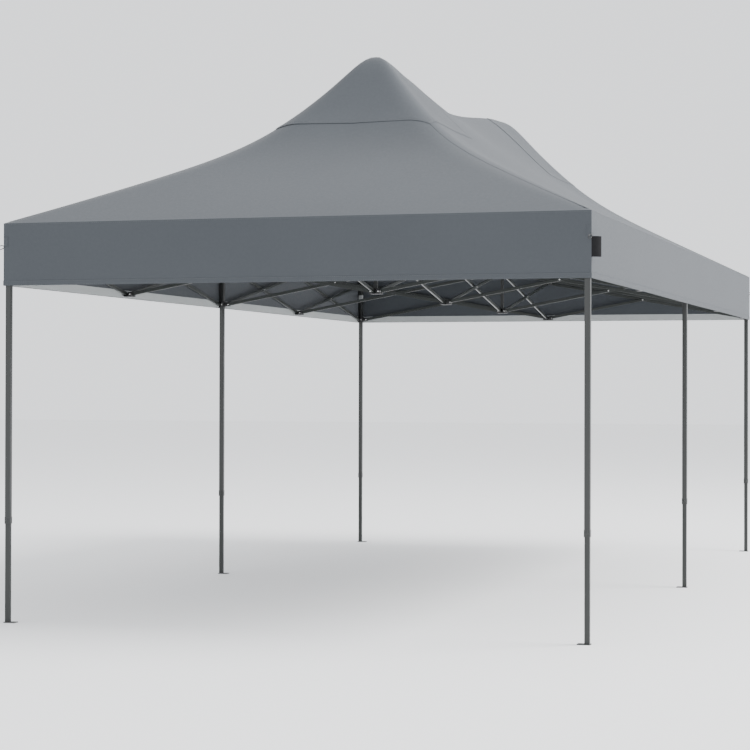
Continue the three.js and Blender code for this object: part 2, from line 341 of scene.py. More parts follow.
# closed shells that the hard pieces are put together from
def addBox(bm, low, high, radius):
    spot = Matrix.Translation((Vector(low) + Vector(high)) / 2)
    size = Vector(high) - Vector(low)
    made = bmesh.ops.create_cube(bm, size=1, matrix=spot @ Matrix.Diagonal((*size, 1)))
    edges = list({edge for vert in made["verts"] for edge in vert.link_edges})
    if radius > 0:
        bmesh.ops.bevel(bm, geom=edges, offset=radius, segments=2, affect="EDGES", profile=0.5)


def roundedSquare(half, radius, steps=3):
    points = []
    for turn in range(4):
        for k in range(steps + 1):
            angle = math.pi / 2 * (turn + k / steps)
            quarter = math.pi / 2 * turn + math.pi / 4
            centre = (half - radius) * math.sqrt(2)
            x = centre * math.cos(quarter) + radius * math.cos(angle)
            y = centre * math.sin(quarter) + radius * math.sin(angle)
            points.append((x, y))
    return points


def addRing(bm, points, z):
    return [bm.verts.new((x, y, z)) for x, y in points]


def bridge(bm, lower, upper):  # faces outwards when both rings run anticlockwise
    count = len(lower)
    for k in range(count):
        after = (k + 1) % count
        bm.faces.new((lower[k], lower[after], upper[after], upper[k]))


def addTube(bm, half, radius, wall, low, high, lip=0.0006):  # square tube, open at both ends
    outside = roundedSquare(half, radius)
    eased = roundedSquare(half - lip, max(radius - lip, 0.0004))
    inside = roundedSquare(half - wall, max(radius - wall, 0.0004))
    outer = [addRing(bm, eased, low), addRing(bm, outside, low + lip)]
    outer += [addRing(bm, outside, high - lip), addRing(bm, eased, high)]
    inner = [addRing(bm, inside, high), addRing(bm, inside, low)]
    loops = outer + inner
    for k in range(len(loops)):
        bridge(bm, loops[k], loops[(k + 1) % len(loops)])


def addLathe(bm, profile, steps, spot):  # profile runs from the axis at the bottom, out and up to the axis
    rings = []
    for r, z in profile:
        if r == 0:
            rings.append([bm.verts.new(spot @ Vector((0, 0, z)))])
        else:
            ring = []
            for k in range(steps):
                angle = 2 * math.pi * k / steps
                ring.append(bm.verts.new(spot @ Vector((r * math.cos(angle), r * math.sin(angle), z))))
            rings.append(ring)
    for lower, upper in zip(rings, rings[1:]):
        for k in range(steps):
            after = (k + 1) % steps
            if len(lower) == 1:
                bm.faces.new((lower[0], upper[after], upper[k]))
            elif len(upper) == 1:
                bm.faces.new((lower[k], lower[after], upper[0]))
            else:
                bm.faces.new((lower[k], lower[after], upper[after], upper[k]))


def finishMesh(name, bm, material, smoothAngle=35):
    bmesh.ops.recalc_face_normals(bm, faces=bm.faces)
    mesh = bpy.data.meshes.new(name)
    bm.to_mesh(mesh)
    bm.free()
    mesh.materials.append(material)
    mesh.polygons.foreach_set("use_smooth", [True] * len(mesh.polygons))
    mesh.set_sharp_from_angle(angle=math.radians(smoothAngle))
    return newObject(name, mesh)


def settle(piece):  # what the modifiers make becomes the piece's own plain mesh
    graph = bpy.context.evaluated_depsgraph_get()
    piece.data = bpy.data.meshes.new_from_object(piece.evaluated_get(graph), depsgraph=graph)
    piece.modifiers.clear()
    return piece


def travel(piece, shift):  # gives the piece its own copy of its mesh when the shift is not zero; nothing is moved
    shift = Vector(shift)
    if shift.length < 1e-6:
        return
    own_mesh(piece)


# geometry nodes: rivet heads on points, and stitches along a path
def startRepeat(name, sizes, stamp, across, along):  # a stamp on every point, sized and painted
    tree = bpy.data.node_groups.new(name, "GeometryNodeTree")
    addSocket(tree, "Geometry", "NodeSocketGeometry", output=True)
    addSocket(tree, "Geometry", "NodeSocketGeometry")
    ids = {label: addSocket(tree, label, "NodeSocketFloat").identifier for label in sizes}
    ids["Material"] = addSocket(tree, "Material", "NodeSocketMaterial").identifier
    source = tree.nodes.new("NodeGroupInput")
    sink = tree.nodes.new("NodeGroupOutput")
    shape = makeNode(tree, "GeometryNodeMeshUVSphere", stamp)
    size = tree.nodes.new("ShaderNodeCombineXYZ")
    turn = makeNode(tree, "FunctionNodeAlignRotationToVector", axis="Z")
    place = tree.nodes.new("GeometryNodeInstanceOnPoints")
    realize = tree.nodes.new("GeometryNodeRealizeInstances")
    paint = tree.nodes.new("GeometryNodeSetMaterial")
    join(tree, (source, across, size, "X"), (source, across, size, "Y"), (source, along, size, "Z"))
    join(tree, (shape, "Mesh", place, "Instance"), (size, "Vector", place, "Scale"))
    join(tree, (turn, "Rotation", place, "Rotation"), (realize, "Geometry", paint, "Geometry"))
    join(tree, (source, "Material", paint, "Material"), (paint, "Geometry", sink, "Geometry"))
    return tree, ids, source, turn, place, realize


def makeRivetTree():
    sizes = ["Radius", "Height"]
    stamp = {"Segments": 12, "Rings": 6}
    tree, ids, source, turn, place, realize = startRepeat("rivets", sizes, stamp, "Radius", "Height")
    points = tree.nodes.new("GeometryNodeMeshToPoints")
    facing = makeNode(tree, "GeometryNodeInputNamedAttribute", {"Name": "facing"}, data_type="FLOAT_VECTOR")
    smooth = tree.nodes.new("GeometryNodeSetShadeSmooth")
    join(tree, (source, "Geometry", points, "Mesh"), (points, "Points", place, "Points"))
    join(tree, (facing, "Attribute", turn, "Vector"), (place, "Instances", smooth, "Geometry"))
    join(tree, (smooth, "Geometry", realize, "Geometry"))
    return tree, ids


def makeStitchTree():
    sizes = ["Pitch", "Length", "Thickness"]
    stamp = {"Segments": 6, "Rings": 3, "Radius": 0.5}
    tree, ids, source, turn, place, realize = startRepeat("stitches", sizes, stamp, "Thickness", "Length")
    curve = tree.nodes.new("GeometryNodeMeshToCurve")
    resample = makeNode(tree, "GeometryNodeResampleCurve", mode="LENGTH")
    tangent = tree.nodes.new("GeometryNodeInputTangent")
    join(tree, (source, "Geometry", curve, "Mesh"), (curve, "Curve", resample, "Curve"))
    join(tree, (source, "Pitch", resample, "Length"), (resample, "Curve", place, "Points"))
    join(tree, (tangent, "Tangent", turn, "Vector"), (place, "Instances", realize, "Geometry"))
    return tree, ids


rivetTree, rivetIds = makeRivetTree()
stitchTree, stitchIds = makeStitchTree()
rivet = {"bar": 0.0055, "leg": 0.006, "hub": 0.005, "height": 0.0022}
pin = {"radius": 0.0028, "sides": 10, "past": 0.001}


def addRivets(name, spots, body, radius, shift=(0, 0, 0)):
    mesh = bpy.data.meshes.new(name)
    mesh.from_pydata([spot for spot, _ in spots], [], [])
    facing = mesh.attributes.new("facing", "FLOAT_VECTOR", "POINT")
    facing.data.foreach_set("vector", [c for _, way in spots for c in way])
    piece = newObject(name, mesh)
    modifier = piece.modifiers.new("rivets", "NODES")
    modifier.node_group = rivetTree
    modifier[rivetIds["Radius"]] = radius
    modifier[rivetIds["Height"]] = rivet["height"]
    modifier[rivetIds["Material"]] = steelMaterial
    settle(piece)
    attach(piece, body)
    travel(piece, shift)


stitches = {"pitch": 0.011, "length": 0.007, "thickness": 0.0011}


def addStitches(name, paths):
    mesh = bpy.data.meshes.new(name)
    points = [point for path in paths for point in path]
    edges = []
    start = 0
    for path in paths:
        edges += [(start + k, start + k + 1) for k in range(len(path) - 1)]
        start += len(path)
    mesh.from_pydata(points, edges, [])
    piece = newObject(name, mesh)
    modifier = piece.modifiers.new("stitches", "NODES")
    modifier.node_group = stitchTree
    for label in ("Pitch", "Length", "Thickness"):
        modifier[stitchIds[label]] = stitches[label.lower()]
    modifier[stitchIds["Material"]] = threadMaterial
    return settle(piece)


# scissor bars: one shape, placed in every crossed pair
bars = {
    "edge": 0.0012,
    "endSteps": 10,
    "ribPlace": 0.0046,
    "ribHalf": 0.0008,
    "ribSink": 0.0004,
    "ribRise": 0.0005,
    "ribRound": 0.0002,
    "ribFromMiddle": 0.020,
    "ribFromEnd": 0.050,
}


def barShape(length):
    radius = barWidth / 2
    edge = bars["edge"]
    rings = []
    for inset, y in ((edge, -1), (0, -1), (0, 1), (edge, 1)):
        level = y * (barThickness / 2 - (0 if inset else edge))
        ring = []
        for start, x in ((math.pi / 2, -length / 2), (-math.pi / 2, length / 2)):
            for k in range(bars["endSteps"] + 1):
                angle = start + math.pi * k / bars["endSteps"]
                r = radius - inset
                ring.append((x + r * math.cos(angle), level, r * math.sin(angle)))
        rings.append(ring)
    return rings


def addBarShell(bm, length):
    rings = [[bm.verts.new(point) for point in ring] for ring in barShape(length)]
    for lower, upper in zip(rings, rings[1:]):
        bridge(bm, lower, upper)
    bm.faces.new(rings[0])
    bm.faces.new(rings[-1])
    near, far = bars["ribFromMiddle"], length / 2 - bars["ribFromEnd"]
    for side in (-1, 1):  # pressed ribs that stiffen the bar
        for z in (-1, 1):
            low, high = z * bars["ribPlace"] - bars["ribHalf"], z * bars["ribPlace"] + bars["ribHalf"]
            face = side * barThickness / 2
            ys = sorted((face - side * bars["ribSink"], face + side * bars["ribRise"]))
            for x0, x1 in ((-far, -near), (near, far)):
                addBox(bm, (x0, ys[0], low), (x1, ys[1], high), bars["ribRound"])


def addBars():
    for name in sorted(frame["nodes"]):
        if "_bar_" not in name:
            continue
        run, number = name.split("_bar_")
        line, cell, letter = number.split("_")
        low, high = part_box(name)
        middle = (low + high) / 2
        across = run == "cross"
        span = (high.x - low.x if across else high.y - low.y) - barWidth
        depth = high.z - low.z - barWidth
        first = letter == "a"
        offset = barPlane if first == across else -barPlane
        if across:
            middle.y = (int(line) - 2) * bay + offset
        else:
            middle.x = (int(line) - 1) * bay + offset
        tilt = math.atan2(depth, span) * (1 if first else -1)
        turn = Matrix.Rotation(0 if across else math.pi / 2, 4, "Z") @ Matrix.Rotation(tilt, 4, "Y")
        place = Matrix.Translation(middle) @ turn
        length = math.hypot(span, depth)
        bm = bmesh.new()
        addBarShell(bm, length)
        bm.transform(place)
        piece = finishMesh("detailed_" + name, bm, barMaterial)
        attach(piece, name)
        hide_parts(name)
        facing = Vector((0, 1, 0)) if across else Vector((1, 0, 0))
        facing *= 1 if offset > 0 else -1
        face = facing * barThickness / 2
        spots = [(middle + face, facing)]
        for end, node in ((-1, int(cell)), (1, int(cell) + 1)):
            if node % 2 == 1 and int(line) % 2 == 0:  # an end that shares its pin with the next bar
                spots.append((place @ Vector((end * length / 2, 0, 0)) + face, facing))
        addRivets("rivets_" + name, spots, name, rivet["bar"])


addBars()
print("bars done")

# legs: rounded square tubes, a head that holds the upper bars, a slider that holds the lower ones
legs = {
    "corner": 0.0035,
    "wall": 0.0012,
    "sleeveWall": 0.0022,
    "sleeveHeight": 0.022,
    "earThickness": 0.003,
    "earOut": 0.008,
    "earHalf": 0.012,
    "earRound": 0.0012,
    "capThickness": 0.003,
    "capPast": 0.001,
    "capRound": 0.0012,
    "collarWall": 0.0016,
    "collarCorner": 0.005,
    "collarHeight": 0.030,
    "collarDrop": 0.004,
    "button": [(0, 0), (0.007, 0), (0.007, 0.003), (0.0055, 0.0048), (0.003, 0.0056), (0, 0.0058)],
    "buttonHeight": 0.013,
    "sliderWall": 0.0035,
    "sliderGap": 0.0003,
    "sliderHalf": 0.021,
    "strapWall": 0.0012,
    "strapLow": 1.862,
    "strapHigh": 1.900,
    "innerGap": 0.0015,
}


def addEars(bm, turn, height, reach, start):
    rotate = Matrix.Rotation(turn, 4, "Z")
    for side in (-1, 1):
        ys = sorted((side * slotHalf, side * (slotHalf + legs["earThickness"])))
        half = legs["earHalf"]
        part = bmesh.new()
        addBox(part, (start, ys[0], -half), (reach + legs["earOut"], ys[1], half), legs["earRound"])
        part.transform(Matrix.Translation((0, 0, height)) @ rotate)
        scratch = bpy.data.meshes.new("part")
        part.to_mesh(scratch)
        bm.from_mesh(scratch)
        part.free()
        bpy.data.meshes.remove(scratch)


def addPin(bm, turn, height, reach, half):  # the round pin that the bars of a run turn on
    spot = Matrix.Translation((0, 0, height)) @ Matrix.Rotation(turn, 4, "Z")
    spot = spot @ Matrix.Translation((reach, 0, 0)) @ Matrix.Rotation(math.pi / 2, 4, "X")
    profile = [(0, -half), (pin["radius"], -half), (pin["radius"], half), (0, half)]
    addLathe(bm, profile, pin["sides"], spot)


def earRivets(turn, height, reach, origin):
    rotate = Matrix.Rotation(turn, 4, "Z")
    spots = []
    for side in (-1, 1):
        spot = rotate @ Vector((reach, side * (slotHalf + legs["earThickness"]), 0))
        spots.append((origin + spot + Vector((0, 0, height)), rotate @ Vector((0, side, 0))))
    return spots


def legTurns(row, side):
    turns = [0 if side < 0 else math.pi]
    if row <= 0:
        turns.append(math.pi / 2)
    if row >= 0:
        turns.append(-math.pi / 2)
    return turns


def addLeg(place, row, sideName, side):
    outer = f"outer_leg_{place}_{sideName}"
    inner = f"inner_leg_{place}_{sideName}"
    origin = Vector((side * bay, row * bay, 0))
    toPlace = Matrix.Translation(origin)
    low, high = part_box(outer)
    innerLow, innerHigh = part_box(inner)
    half = legSide / 2
    turns = legTurns(row, side)
    bm = bmesh.new()
    addTube(bm, half, legs["corner"], legs["wall"], low.z, high.z - 0.001)
    sleeve = half + legs["sleeveWall"]
    bottom, top = upperPins - legs["sleeveHeight"], high.z - 0.0005
    addTube(bm, sleeve, legs["corner"], legs["sleeveWall"] + 0.0004, bottom, top)
    for turn in turns:
        addEars(bm, turn, upperPins, legReach, half + 0.001)
        addPin(bm, turn, upperPins, legReach, slotHalf + pin["past"])
    bm.transform(toPlace)
    piece = finishMesh("detailed_" + outer, bm, paintMaterial)
    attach(piece, outer)
    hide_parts(outer)
    spots = [spot for turn in turns for spot in earRivets(turn, upperPins, legReach, origin)]
    addRivets(f"head_rivets_{place}_{sideName}", spots, outer, rivet["leg"])

    bm = bmesh.new()
    wide = half + legs["capPast"]
    addBox(bm, (-wide, -wide, high.z - legs["capThickness"]), (wide, wide, high.z), legs["capRound"])
    bm.transform(toPlace)
    cap = finishMesh(f"leg_cap_{place}_{sideName}", bm, plasticMaterial)
    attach(cap, outer)

    bm = bmesh.new()
    wall = legs["collarWall"]
    bottom, top = low.z - legs["collarDrop"], low.z + legs["collarHeight"]
    addTube(bm, half + wall, legs["collarCorner"], wall - 0.0002, bottom, top)
    button = Matrix.Translation((0, -(half + wall - 0.001), low.z + legs["buttonHeight"]))
    addLathe(bm, legs["button"], 16, button @ Matrix.Rotation(math.pi / 2, 4, "X"))
    bm.transform(toPlace)
    collar = finishMesh(f"leg_collar_{place}_{sideName}", bm, paintMaterial)
    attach(collar, outer)

    bm = bmesh.new()
    sliderHalf = legs["sliderHalf"]
    wall = legs["sliderWall"]
    outside = half + legs["sliderGap"] + wall
    addTube(bm, outside, 0.004, wall, lowerPins - sliderHalf, lowerPins + sliderHalf)
    for turn in turns:
        addEars(bm, turn, lowerPins, legReach, half + 0.002)
        addPin(bm, turn, lowerPins, legReach, slotHalf + pin["past"])
    bm.transform(toPlace)
    slider = finishMesh(f"slider_{place}_{sideName}", bm, plasticMaterial)
    drop = (0, 0, -levelShift)
    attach(slider, outer)
    travel(slider, drop)
    spots = [spot for turn in turns for spot in earRivets(turn, lowerPins, legReach, origin)]
    addRivets(f"slider_rivets_{place}_{sideName}", spots, outer, rivet["leg"], drop)

    bm = bmesh.new()
    addTube(bm, half + 0.0014, 0.004, legs["strapWall"], legs["strapLow"], legs["strapHigh"], 0.0003)
    bm.transform(toPlace)
    strap = finishMesh(f"canopy_strap_{place}_{sideName}", bm, strapMaterial)
    flatUv(strap)
    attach(strap, outer)

    bm = bmesh.new()
    innerHalf = (innerHigh.y - innerLow.y) / 2
    tubeHalf = min(innerHalf, half - legs["innerGap"])
    addTube(bm, tubeHalf, 0.003, legs["wall"], 0.002, innerHigh.z)
    addFoot(bm, -side, tubeHalf, innerHalf)
    bm.transform(toPlace)
    piece = finishMesh("detailed_" + inner, bm, innerMaterial)
    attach(piece, inner)
    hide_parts(inner)


foot = {
    "thickness": 0.004, "edge": 0.0006, "outer": 0.004, "inner": 0.034,
    "hole": 0.005, "holeInset": 0.014, "corner": 0.006, "cornerSteps": 4,
}


def addFoot(bm, way, tubeHalf, half):  # a plate with a stake hole, reaching inwards
    x0, x1 = -tubeHalf - foot["outer"], tubeHalf + foot["inner"]
    r = foot["corner"]
    corners = [(x1 - r, half - r, 0), (x0 + r, half - r, 1), (x0 + r, r - half, 2), (x1 - r, r - half, 3)]
    outline = []
    for x, y, quarter in corners:
        for k in range(foot["cornerSteps"] + 1):
            angle = math.pi / 2 * (quarter + k / foot["cornerSteps"])
            outline.append((x + r * math.cos(angle), y + r * math.sin(angle)))
    centre = x1 - foot["holeInset"]
    hole = []
    for x, y in outline:
        angle = math.atan2(y, x - centre)
        hole.append((centre + foot["hole"] * math.cos(angle), foot["hole"] * math.sin(angle)))
    loops = []
    edge, top = foot["edge"], foot["thickness"]
    for z, inset in ((0, edge), (edge, 0), (top - edge, 0), (top, edge)):
        ring = []
        for x, y in outline:
            ease = Vector((x - (x0 + x1) / 2, y)).normalized() * inset
            ring.append(bm.verts.new((way * (x - ease.x), y - ease.y, z)))
        loops.append(ring)
    for z in (foot["thickness"], 0):
        loops.append([bm.verts.new((way * x, y, z)) for x, y in hole])
    for k in range(len(loops)):
        bridge(bm, loops[k], loops[(k + 1) % len(loops)])


def flatUv(piece):  # metres along the surface's two main directions
    mesh = piece.data
    layer = mesh.uv_layers.new(name="cloth")
    for polygon in mesh.polygons:
        normal = [abs(c) for c in polygon.normal]
        drop = normal.index(max(normal))
        for loop in polygon.loop_indices:
            co = mesh.vertices[mesh.loops[loop].vertex_index].co
            layer.data[loop].uv = [co[k] for k in range(3) if k != drop]


for rowName, rowNumber in rows:
    for sideName, side in sides:
        addLeg(rowName, rowNumber, sideName, side)
print("legs done")

# hubs and connectors: corner blocks round crossing slots, with a plate over them
hub = {
    "blockHalf": 0.011, "plate": 0.004, "plateLift": 0.001, "overlap": 0.0005,
    "reach": 0.032, "cheek": 0.003, "cheekRound": 0.001, "round": 0.0015,
}


def addHub(bm, plateSide, quarters, cheeks):
    half, outer = hub["blockHalf"], hub["reach"]
    near = half + hub["plateLift"]
    zs = sorted((-half * plateSide, (near + hub["overlap"]) * plateSide))
    for x, y in quarters:
        xs, ys = sorted((x * slotHalf, x * outer)), sorted((y * slotHalf, y * outer))
        addBox(bm, (xs[0], ys[0], zs[0]), (xs[1], ys[1], zs[1]), hub["round"])
    for x, y in cheeks:  # a thin wall that closes the outer side of a connector
        far = slotHalf + hub["cheek"]
        if x:
            xs, ys = sorted((x * slotHalf, x * far)), (-outer, outer)
        else:
            xs, ys = (-outer, outer), sorted((y * slotHalf, y * far))
        addBox(bm, (xs[0], ys[0], zs[0]), (xs[1], ys[1], zs[1]), hub["cheekRound"])
    xs, ys = [-outer, outer], [-outer, outer]
    for x, y in cheeks:
        if x:
            xs[0 if x < 0 else 1] = x * (slotHalf + hub["cheek"])
        else:
            ys[0 if y < 0 else 1] = y * (slotHalf + hub["cheek"])
    plate = sorted((near * plateSide, (near + hub["plate"]) * plateSide))
    addBox(bm, (xs[0], ys[0], plate[0]), (xs[1], ys[1], plate[1]), hub["round"])


def crossPins(bm, turns):
    for turn in turns:
        addPin(bm, turn, 0, hubReach, slotHalf + pin["past"])


def placeHub(name, place, body, plateSide, quarters, cheeks, turns, shift):
    bm = bmesh.new()
    addHub(bm, plateSide, quarters, cheeks)
    crossPins(bm, turns)
    bm.transform(Matrix.Translation(place))
    piece = finishMesh(name, bm, plasticMaterial)
    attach(piece, body)
    travel(piece, shift)
    spots = []
    for turn in turns:
        rotate = Matrix.Rotation(turn, 4, "Z")
        for side in (-1, 1):
            spot = rotate @ Vector((hubReach, side * hub["reach"], 0))
            spots.append((Vector(place) + spot, rotate @ Vector((0, side, 0))))
    addRivets(name + "_rivets", spots, body, rivet["hub"], shift)


allQuarters = [(-1, -1), (-1, 1), (1, -1), (1, 1)]
alongTurns = [math.pi / 2, -math.pi / 2]
everyTurn = [0, math.pi / 2, math.pi, -math.pi / 2]
levels = [("upper", upperPins, 1, 0.0), ("lower", lowerPins, -1, -levelShift)]

for levelName, height, plateSide, dz in levels:
    for sideName, side in sides:
        inwards = 0 if side < 0 else math.pi
        for rowName, row in (("front", -1), ("back", 1)):
            place = (side * bay, row * bay, height)
            name = f"side_connector_{levelName}_{rowName}_{sideName}"
            quarters = [(-side, -1), (-side, 1)]
            shift = (0, -row * bayShift, dz)
            body = f"outer_leg_middle_{sideName}"
            placeHub(name, place, body, plateSide, quarters, [(side, 0)], [inwards], shift)
    for rowName, row in (("front", -1), ("back", 1)):
        place = (0, row * 2 * bay, height)
        name = f"end_connector_{levelName}_{rowName}"
        quarters = [(-1, -row), (1, -row)]
        shift = (0, -row * 2 * bayShift, dz)
        turn = math.pi / 2 if row < 0 else -math.pi / 2
        placeHub(name, place, "centre_hub", plateSide, quarters, [(0, row)], [turn], shift)
for rowName, row in (("front", -1), ("back", 1)):
    place, shift = (0, row * bay, upperPins), (0, -row * bayShift, 0)
    placeHub(f"pole_hub_upper_{rowName}", place, "centre_hub", 1, allQuarters, [], everyTurn, shift)
place, shift = (0, 0, lowerPins), (0, 0, -levelShift)
placeHub("centre_hub_lower", place, "centre_hub", -1, allQuarters, [], alongTurns, shift)
print("connectors done")


# the upper centre hub, with a web and a cross axle between its blocks
centre = {"webLow": (-0.008, -0.0007, -0.003), "webHigh": (0.008, 0.0007, 0.0125), "axleHalf": 0.0115}


def addCentre():
    bm = bmesh.new()
    addHub(bm, 1, allQuarters, [])
    crossPins(bm, alongTurns)
    addBox(bm, centre["webLow"], centre["webHigh"], 0.0002)
    addPin(bm, 0, 0, 0, centre["axleHalf"])
    bm.transform(Matrix.Translation((0, 0, upperPins)))
    piece = finishMesh("detailed_centre_hub", bm, plasticMaterial)
    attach(piece, "centre_hub")
    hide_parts("centre_hub")


# peak poles, each with a lower hub and a mushroom cap that spreads the cloth
pole = {
    "half": 0.010, "wall": 0.0012, "corner": 0.002,
    "stemRadius": 0.016, "stemLength": 0.030, "stemTop": 0.008,
    "brimRadius": 0.034, "brimPast": 0.002, "brimDrop": 0.004, "crown": 0.014, "crownTurns": (0.35, 0.7, 1.1),
}


def addPoles():
    for rowName, row in (("front", -1), ("back", 1)):
        name = f"peak_pole_{rowName}"
        low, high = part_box(name)
        bm = bmesh.new()
        addTube(bm, pole["half"], pole["corner"], pole["wall"], low.z + 0.0005, high.z)
        bm.transform(Matrix.Translation((0, row * bay, 0)))
        piece = finishMesh("detailed_" + name, bm, paintMaterial)
        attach(piece, name)
        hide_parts(name)
        place = (0, row * bay, lowerPins)
        placeHub(f"pole_hub_lower_{rowName}", place, name, -1, allQuarters, [], everyTurn, (0, 0, 0))
        bm = bmesh.new()
        r, stem, crown = pole["brimRadius"], pole["stemRadius"], pole["crown"]
        profile = [(0, -pole["stemLength"]), (stem, -pole["stemLength"]), (stem, -pole["stemTop"])]
        profile += [(r, -pole["brimDrop"]), (r + pole["brimPast"], 0)]
        profile += [(r * math.cos(a), crown * math.sin(a) * 1.1) for a in pole["crownTurns"]]
        profile.append((0, crown * 1.12))
        addLathe(bm, profile, 32, Matrix.Translation((0, row * bay, high.z)))
        cap = finishMesh(f"mushroom_cap_{rowName}", bm, plasticMaterial)
        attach(cap, name)


addCentre()
addPoles()
print("poles done")

# canopy cloth
canopyLow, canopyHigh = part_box("canopy")
cloth = {
    "halfAcross": canopyHigh.x,
    "halfAlong": canopyHigh.y,
    "hem": canopyLow.z,
    "peak": canopyHigh.z,
    "eaveAboveLegs": 0.010,
    "thickness": 0.0012,
    "cells": 60,
    "saddleCells": 59,
    "steepShare": 0.27,
    "steepReach": 0.29,
    "ridgeDip": 0.112,
    "hipSoftness": 0.42,
    "peakRound": 0.035,
    "peakTaper": 0.1,
    "peakBlend": 0.2,
    "saddleStretch": 1.4,
    "ridgeShare": 0.14,
    "ridgeReach": 0.35,
    "panelSag": 0.012,
    "billow": 0.006,
    "hemWidth": 0.026,
    "hemRise": 0.0012,
    "foldKeep": 0.206,
    "columnShare": 0.4,
}
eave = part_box("outer_leg_front_left")[1].z + cloth["eaveAboveLegs"]
capReach = cloth["steepReach"]


def roofHeight(x, y):
    u = np.abs(x) / cloth["halfAcross"]
    y = np.abs(y)
    run = cloth["halfAlong"] - bay
    beyond = np.clip((y - bay) / run, 0, None)
    within = np.clip((bay - y) / bay, 0, None)

    def steep(t):
        share = cloth["steepShare"]
        return 1 - share + share * np.exp(-((t / cloth["steepReach"]) ** 2))

    far = np.maximum(u, beyond)
    soft = cloth["hipSoftness"] * far * (1 - far) + 1e-6
    near = np.clip(1 - np.abs(u - beyond) / soft, 0, None)
    t = np.minimum(1, far + soft / 4 * near * near)
    blend = within * within * (3 - 2 * within)
    away = np.hypot(t, within * cloth["saddleStretch"])
    small = cloth["peakRound"]
    eased = np.hypot(t, small) - small * np.exp(-((t / cloth["peakTaper"]) ** 2))
    t = t + (eased - t) * np.exp(-((away / cloth["peakBlend"]) ** 2))
    outside = (1 - t) * steep(t)
    ridge = cloth["ridgeShare"]
    gentle = 1 - ridge + ridge * np.exp(-((u / cloth["ridgeReach"]) ** 2))
    inside = (1 - t) * (1 - cloth["ridgeDip"] * blend) * (steep(t) * (1 - blend) + gentle * blend)
    share = np.where(within > 0, inside, outside)
    sag = cloth["panelSag"] * np.sin(np.pi * np.clip(t, 0, 1)) ** 2
    lean = np.abs(u - beyond) / (u + beyond + 1e-6)  # 0 on a hip, 1 in the middle of a panel
    return eave + (cloth["peak"] - eave) * share - sag * lean * (1 - 0.5 * blend)


def standOut(share, place, onEnd):  # how far the valance billows out: share of its drop, place along the edge
    reach = bay if onEnd else 2 * bay
    along = (place + (bay if onEnd else 0)) / (2 * bay)
    wave = cloth["billow"] * share**1.3 * np.sin(np.pi * along) ** 2
    return np.where(np.abs(place) < reach, wave, 0)  # the short stretch past the corner legs hangs flat


def onRoof(x, y, lift):
    return (x, y, float(roofHeight(np.array(x), np.array(y))) + lift)


def valanceRows():
    drop = eave - cloth["hem"]
    hemTop = drop - cloth["hemWidth"]
    rise = cloth["hemRise"]
    levels = [(down, 0.0) for down in np.linspace(0, hemTop, 9)]
    levels += [(hemTop + 0.0008, rise), (hemTop + 0.012, rise * 1.25), (drop - 0.002, rise), (drop, 0.0)]
    return levels, drop


def buildCloth():
    n, saddle = cloth["cells"], cloth["saddleCells"]
    wide, long = cloth["halfAcross"], cloth["halfAlong"]
    xs = np.linspace(-wide, wide, 2 * n + 1)
    front = np.linspace(-long, -bay, n + 1)
    middle = np.linspace(-bay, bay, 2 * saddle + 1)[1:-1]
    ys = np.concatenate([front, middle, -front[::-1]])
    gridX, gridY = np.meshgrid(xs, ys)
    gridZ = roofHeight(gridX, gridY)
    gridZ[:, 0] = gridZ[:, -1] = eave
    gridZ[0, :] = gridZ[-1, :] = eave
    nx, ny = len(xs), len(ys)

    def at(i, j):
        return j * nx + i

    outer = np.stack([gridX, gridY, gridZ], -1).reshape(-1, 3)
    thin = cloth["thickness"]
    inner = outer * [1 - thin / wide, 1 - thin / long, 1] - [0, 0, thin]
    loop = [at(i, 0) for i in range(nx - 1)] + [at(nx - 1, j) for j in range(ny - 1)]
    loop += [at(i, ny - 1) for i in range(nx - 1, 0, -1)] + [at(0, j) for j in range(ny - 1, 0, -1)]
    levels, drop = valanceRows()
    points, innerPoints = list(outer), list(inner)
    ringIds = [loop]
    for down, rise in levels[1:]:
        ring = []
        for k in loop:
            x, y = outer[k][:2]
            onSide, onEnd = abs(abs(x) - wide) < 1e-9, abs(abs(y) - long) < 1e-9
            wave = 0 if onSide and onEnd else float(standOut(down / drop, x if onEnd else y, onEnd))
            way = np.array([np.sign(x) * onSide, np.sign(y) * onEnd, 0])
            spot = np.array([x, y, eave - down])
            ring.append(len(points))
            points.append(spot + way * (rise + wave))
            innerPoints.append(spot + way * (wave - thin))
        ringIds.append(ring)
    faces = []
    for j in range(ny - 1):
        for i in range(nx - 1):
            faces.append((at(i, j), at(i + 1, j), at(i + 1, j + 1), at(i, j + 1)))
    count = len(loop)
    for upper, lower in zip(ringIds, ringIds[1:]):
        for k in range(count):
            after = (k + 1) % count
            faces.append((lower[k], lower[after], upper[after], upper[k]))
    return np.array(points), np.array(innerPoints), faces, drop


points, innerPoints, faces, valanceDrop = buildCloth()


def cornerNormals(points, faces):
    mesh = bpy.data.meshes.new("whole")
    mesh.from_pydata([tuple(p) for p in points], [], faces)
    mesh.polygons.foreach_set("use_smooth", [True] * len(mesh.polygons))
    mesh.set_sharp_from_angle(angle=math.radians(30))
    normals = np.zeros(len(mesh.loops) * 3, np.float32)
    mesh.corner_normals.foreach_get("vector", normals)
    bpy.data.meshes.remove(mesh)
    return normals.reshape(-1, 4, 3)


def clothUv(point, normal):
    if abs(normal[2]) > 0.5:
        return point[0], point[1]
    return (point[1], point[2]) if abs(normal[0]) > abs(normal[1]) else (point[0], point[2])


